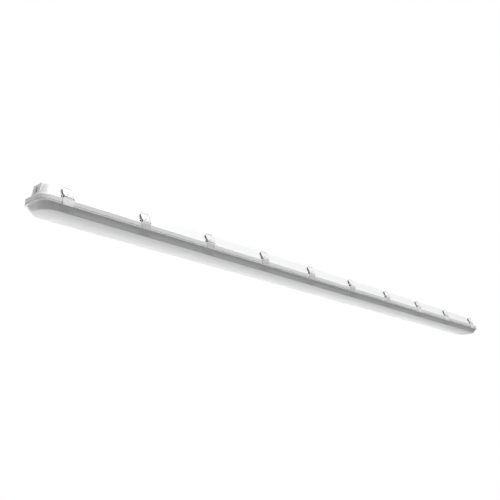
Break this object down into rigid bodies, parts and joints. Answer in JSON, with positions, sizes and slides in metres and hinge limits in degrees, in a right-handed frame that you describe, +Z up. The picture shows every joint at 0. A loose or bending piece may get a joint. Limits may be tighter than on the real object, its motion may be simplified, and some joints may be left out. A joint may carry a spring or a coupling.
{
  "type": "vapor tight light fixture",
  "caption": "Long narrow sealed ceiling light: leaning-walled housing, frosted tray lens on a gasket, over-centre latches along both sides, cable entry in one end.",
  "frame": {"origin": "middle of the flat roof face, where the fixture meets the ceiling", "axes": "+Z up out of the roof, X along the fixture with the cable entry at -X, -Y is the side the picture shows"},
  "size_m": [2.4, 0.1068, 0.0759],
  "materials": {
    "housing": "moulded white polycarbonate, satin",
    "lens": "frosted opal polycarbonate",
    "gasket": "foamed seal, matt black",
    "latch_lever": "white plastic, satin",
    "latch_hook": "warm light grey plastic, matt",
    "entry_rubber": "light grey rubber",
    "tray": "white powder coat",
    "screw": "zinc plated",
    "board": "white solder mask",
    "driver_case": "white painted steel case",
    "terminal": "light grey plastic",
    "lead": "PVC sheath"
  },
  "bodies": {
    "fixture_body": {"housing": "housing", "gasket": "gasket", "lens": "lens", "entry_bush": "entry_rubber", "end_plug": "entry_rubber", "gear_tray": "tray", "tray_screw_1": "screw", "tray_screw_2": "screw", "tray_screw_3": "screw", "tray_screw_4": "screw", "led_board_1": "board", "led_board_2": "board", "led_board_3": "board", "led_board_4": "board", "driver": "driver_case", "terminal_block": "terminal", "lead_supply": "lead", "lead_output": "lead"},
    "lever_front_01": {"latch_lever_front_01": "latch_lever"},
    "hook_front_01": {"latch_hook_front_01": "latch_hook"},
    "lever_front_02": {"latch_lever_front_02": "latch_lever"},
    "hook_front_02": {"latch_hook_front_02": "latch_hook"},
    "lever_front_03": {"latch_lever_front_03": "latch_lever"},
    "hook_front_03": {"latch_hook_front_03": "latch_hook"},
    "lever_front_04": {"latch_lever_front_04": "latch_lever"},
    "hook_front_04": {"latch_hook_front_04": "latch_hook"},
    "lever_front_05": {"latch_lever_front_05": "latch_lever"},
    "hook_front_05": {"latch_hook_front_05": "latch_hook"},
    "lever_front_06": {"latch_lever_front_06": "latch_lever"},
    "hook_front_06": {"latch_hook_front_06": "latch_hook"},
    "lever_front_07": {"latch_lever_front_07": "latch_lever"},
    "hook_front_07": {"latch_hook_front_07": "latch_hook"},
    "lever_front_08": {"latch_lever_front_08": "latch_lever"},
    "hook_front_08": {"latch_hook_front_08": "latch_hook"},
    "lever_front_09": {"latch_lever_front_09": "latch_lever"},
    "hook_front_09": {"latch_hook_front_09": "latch_hook"},
    "lever_front_10": {"latch_lever_front_10": "latch_lever"},
    "hook_front_10": {"latch_hook_front_10": "latch_hook"},
    "lever_back_01": {"latch_lever_back_01": "latch_lever"},
    "hook_back_01": {"latch_hook_back_01": "latch_hook"},
    "lever_back_02": {"latch_lever_back_02": "latch_lever"},
    "hook_back_02": {"latch_hook_back_02": "latch_hook"},
    "lever_back_03": {"latch_lever_back_03": "latch_lever"},
    "hook_back_03": {"latch_hook_back_03": "latch_hook"},
    "lever_back_04": {"latch_lever_back_04": "latch_lever"},
    "hook_back_04": {"latch_hook_back_04": "latch_hook"},
    "lever_back_05": {"latch_lever_back_05": "latch_lever"},
    "hook_back_05": {"latch_hook_back_05": "latch_hook"},
    "lever_back_06": {"latch_lever_back_06": "latch_lever"},
    "hook_back_06": {"latch_hook_back_06": "latch_hook"},
    "lever_back_07": {"latch_lever_back_07": "latch_lever"},
    "hook_back_07": {"latch_hook_back_07": "latch_hook"},
    "lever_back_08": {"latch_lever_back_08": "latch_lever"},
    "hook_back_08": {"latch_hook_back_08": "latch_hook"},
    "lever_back_09": {"latch_lever_back_09": "latch_lever"},
    "hook_back_09": {"latch_hook_back_09": "latch_hook"},
    "lever_back_10": {"latch_lever_back_10": "latch_lever"},
    "hook_back_10": {"latch_hook_back_10": "latch_hook"}
  },
  "joints": [
    {"name": "lever_turn_front_01", "type": "hinge", "parent": "fixture_body", "child": "lever_front_01", "pos_m": [-1.125, -0.0488, -0.033], "axis": [1, 0, 0], "range_deg": [0, 100]},
    {"name": "hook_turn_front_01", "type": "hinge", "parent": "lever_front_01", "child": "hook_front_01", "pos_m": [-1.125, -0.0482, -0.028], "axis": [1, 0, 0], "range_deg": [-100, 0]},
    {"name": "lever_turn_front_02", "type": "hinge", "parent": "fixture_body", "child": "lever_front_02", "pos_m": [-0.875, -0.0488, -0.033], "axis": [1, 0, 0], "range_deg": [0, 100]},
    {"name": "hook_turn_front_02", "type": "hinge", "parent": "lever_front_02", "child": "hook_front_02", "pos_m": [-0.875, -0.0482, -0.028], "axis": [1, 0, 0], "range_deg": [-100, 0]},
    {"name": "lever_turn_front_03", "type": "hinge", "parent": "fixture_body", "child": "lever_front_03", "pos_m": [-0.625, -0.0488, -0.033], "axis": [1, 0, 0], "range_deg": [0, 100]},
    {"name": "hook_turn_front_03", "type": "hinge", "parent": "lever_front_03", "child": "hook_front_03", "pos_m": [-0.625, -0.0482, -0.028], "axis": [1, 0, 0], "range_deg": [-100, 0]},
    {"name": "lever_turn_front_04", "type": "hinge", "parent": "fixture_body", "child": "lever_front_04", "pos_m": [-0.375, -0.0488, -0.033], "axis": [1, 0, 0], "range_deg": [0, 100]},
    {"name": "hook_turn_front_04", "type": "hinge", "parent": "lever_front_04", "child": "hook_front_04", "pos_m": [-0.375, -0.0482, -0.028], "axis": [1, 0, 0], "range_deg": [-100, 0]},
    {"name": "lever_turn_front_05", "type": "hinge", "parent": "fixture_body", "child": "lever_front_05", "pos_m": [-0.125, -0.0488, -0.033], "axis": [1, 0, 0], "range_deg": [0, 100]},
    {"name": "hook_turn_front_05", "type": "hinge", "parent": "lever_front_05", "child": "hook_front_05", "pos_m": [-0.125, -0.0482, -0.028], "axis": [1, 0, 0], "range_deg": [-100, 0]},
    {"name": "lever_turn_front_06", "type": "hinge", "parent": "fixture_body", "child": "lever_front_06", "pos_m": [0.125, -0.0488, -0.033], "axis": [1, 0, 0], "range_deg": [0, 100]},
    {"name": "hook_turn_front_06", "type": "hinge", "parent": "lever_front_06", "child": "hook_front_06", "pos_m": [0.125, -0.0482, -0.028], "axis": [1, 0, 0], "range_deg": [-100, 0]},
    {"name": "lever_turn_front_07", "type": "hinge", "parent": "fixture_body", "child": "lever_front_07", "pos_m": [0.375, -0.0488, -0.033], "axis": [1, 0, 0], "range_deg": [0, 100]},
    {"name": "hook_turn_front_07", "type": "hinge", "parent": "lever_front_07", "child": "hook_front_07", "pos_m": [0.375, -0.0482, -0.028], "axis": [1, 0, 0], "range_deg": [-100, 0]},
    {"name": "lever_turn_front_08", "type": "hinge", "parent": "fixture_body", "child": "lever_front_08", "pos_m": [0.625, -0.0488, -0.033], "axis": [1, 0, 0], "range_deg": [0, 100]},
    {"name": "hook_turn_front_08", "type": "hinge", "parent": "lever_front_08", "child": "hook_front_08", "pos_m": [0.625, -0.0482, -0.028], "axis": [1, 0, 0], "range_deg": [-100, 0]},
    {"name": "lever_turn_front_09", "type": "hinge", "parent": "fixture_body", "child": "lever_front_09", "pos_m": [0.875, -0.0488, -0.033], "axis": [1, 0, 0], "range_deg": [0, 100]},
    {"name": "hook_turn_front_09", "type": "hinge", "parent": "lever_front_09", "child": "hook_front_09", "pos_m": [0.875, -0.0482, -0.028], "axis": [1, 0, 0], "range_deg": [-100, 0]},
    {"name": "lever_turn_front_10", "type": "hinge", "parent": "fixture_body", "child": "lever_front_10", "pos_m": [1.125, -0.0488, -0.033], "axis": [1, 0, 0], "range_deg": [0, 100]},
    {"name": "hook_turn_front_10", "type": "hinge", "parent": "lever_front_10", "child": "hook_front_10", "pos_m": [1.125, -0.0482, -0.028], "axis": [1, 0, 0], "range_deg": [-100, 0]},
    {"name": "lever_turn_back_01", "type": "hinge", "parent": "fixture_body", "child": "lever_back_01", "pos_m": [-1.125, 0.0488, -0.033], "axis": [-1, 0, 0], "range_deg": [0, 100]},
    {"name": "hook_turn_back_01", "type": "hinge", "parent": "lever_back_01", "child": "hook_back_01", "pos_m": [-1.125, 0.0482, -0.028], "axis": [-1, 0, 0], "range_deg": [-100, 0]},
    {"name": "lever_turn_back_02", "type": "hinge", "parent": "fixture_body", "child": "lever_back_02", "pos_m": [-0.875, 0.0488, -0.033], "axis": [-1, 0, 0], "range_deg": [0, 100]},
    {"name": "hook_turn_back_02", "type": "hinge", "parent": "lever_back_02", "child": "hook_back_02", "pos_m": [-0.875, 0.0482, -0.028], "axis": [-1, 0, 0], "range_deg": [-100, 0]},
    {"name": "lever_turn_back_03", "type": "hinge", "parent": "fixture_body", "child": "lever_back_03", "pos_m": [-0.625, 0.0488, -0.033], "axis": [-1, 0, 0], "range_deg": [0, 100]},
    {"name": "hook_turn_back_03", "type": "hinge", "parent": "lever_back_03", "child": "hook_back_03", "pos_m": [-0.625, 0.0482, -0.028], "axis": [-1, 0, 0], "range_deg": [-100, 0]},
    {"name": "lever_turn_back_04", "type": "hinge", "parent": "fixture_body", "child": "lever_back_04", "pos_m": [-0.375, 0.0488, -0.033], "axis": [-1, 0, 0], "range_deg": [0, 100]},
    {"name": "hook_turn_back_04", "type": "hinge", "parent": "lever_back_04", "child": "hook_back_04", "pos_m": [-0.375, 0.0482, -0.028], "axis": [-1, 0, 0], "range_deg": [-100, 0]},
    {"name": "lever_turn_back_05", "type": "hinge", "parent": "fixture_body", "child": "lever_back_05", "pos_m": [-0.125, 0.0488, -0.033], "axis": [-1, 0, 0], "range_deg": [0, 100]},
    {"name": "hook_turn_back_05", "type": "hinge", "parent": "lever_back_05", "child": "hook_back_05", "pos_m": [-0.125, 0.0482, -0.028], "axis": [-1, 0, 0], "range_deg": [-100, 0]},
    {"name": "lever_turn_back_06", "type": "hinge", "parent": "fixture_body", "child": "lever_back_06", "pos_m": [0.125, 0.0488, -0.033], "axis": [-1, 0, 0], "range_deg": [0, 100]},
    {"name": "hook_turn_back_06", "type": "hinge", "parent": "lever_back_06", "child": "hook_back_06", "pos_m": [0.125, 0.0482, -0.028], "axis": [-1, 0, 0], "range_deg": [-100, 0]},
    {"name": "lever_turn_back_07", "type": "hinge", "parent": "fixture_body", "child": "lever_back_07", "pos_m": [0.375, 0.0488, -0.033], "axis": [-1, 0, 0], "range_deg": [0, 100]},
    {"name": "hook_turn_back_07", "type": "hinge", "parent": "lever_back_07", "child": "hook_back_07", "pos_m": [0.375, 0.0482, -0.028], "axis": [-1, 0, 0], "range_deg": [-100, 0]},
    {"name": "lever_turn_back_08", "type": "hinge", "parent": "fixture_body", "child": "lever_back_08", "pos_m": [0.625, 0.0488, -0.033], "axis": [-1, 0, 0], "range_deg": [0, 100]},
    {"name": "hook_turn_back_08", "type": "hinge", "parent": "lever_back_08", "child": "hook_back_08", "pos_m": [0.625, 0.0482, -0.028], "axis": [-1, 0, 0], "range_deg": [-100, 0]},
    {"name": "lever_turn_back_09", "type": "hinge", "parent": "fixture_body", "child": "lever_back_09", "pos_m": [0.875, 0.0488, -0.033], "axis": [-1, 0, 0], "range_deg": [0, 100]},
    {"name": "hook_turn_back_09", "type": "hinge", "parent": "lever_back_09", "child": "hook_back_09", "pos_m": [0.875, 0.0482, -0.028], "axis": [-1, 0, 0], "range_deg": [-100, 0]},
    {"name": "lever_turn_back_10", "type": "hinge", "parent": "fixture_body", "child": "lever_back_10", "pos_m": [1.125, 0.0488, -0.033], "axis": [-1, 0, 0], "range_deg": [0, 100]},
    {"name": "hook_turn_back_10", "type": "hinge", "parent": "lever_back_10", "child": "hook_back_10", "pos_m": [1.125, 0.0482, -0.028], "axis": [-1, 0, 0], "range_deg": [-100, 0]}
  ],
  "couplings": [
    {"joint": "hook_turn_front_01", "follows": "lever_turn_front_01", "ratio": -1},
    {"joint": "hook_turn_front_02", "follows": "lever_turn_front_02", "ratio": -1},
    {"joint": "hook_turn_front_03", "follows": "lever_turn_front_03", "ratio": -1},
    {"joint": "hook_turn_front_04", "follows": "lever_turn_front_04", "ratio": -1},
    {"joint": "hook_turn_front_05", "follows": "lever_turn_front_05", "ratio": -1},
    {"joint": "hook_turn_front_06", "follows": "lever_turn_front_06", "ratio": -1},
    {"joint": "hook_turn_front_07", "follows": "lever_turn_front_07", "ratio": -1},
    {"joint": "hook_turn_front_08", "follows": "lever_turn_front_08", "ratio": -1},
    {"joint": "hook_turn_front_09", "follows": "lever_turn_front_09", "ratio": -1},
    {"joint": "hook_turn_front_10", "follows": "lever_turn_front_10", "ratio": -1},
    {"joint": "hook_turn_back_01", "follows": "lever_turn_back_01", "ratio": -1},
    {"joint": "hook_turn_back_02", "follows": "lever_turn_back_02", "ratio": -1},
    {"joint": "hook_turn_back_03", "follows": "lever_turn_back_03", "ratio": -1},
    {"joint": "hook_turn_back_04", "follows": "lever_turn_back_04", "ratio": -1},
    {"joint": "hook_turn_back_05", "follows": "lever_turn_back_05", "ratio": -1},
    {"joint": "hook_turn_back_06", "follows": "lever_turn_back_06", "ratio": -1},
    {"joint": "hook_turn_back_07", "follows": "lever_turn_back_07", "ratio": -1},
    {"joint": "hook_turn_back_08", "follows": "lever_turn_back_08", "ratio": -1},
    {"joint": "hook_turn_back_09", "follows": "lever_turn_back_09", "ratio": -1},
    {"joint": "hook_turn_back_10", "follows": "lever_turn_back_10", "ratio": -1}
  ]
}
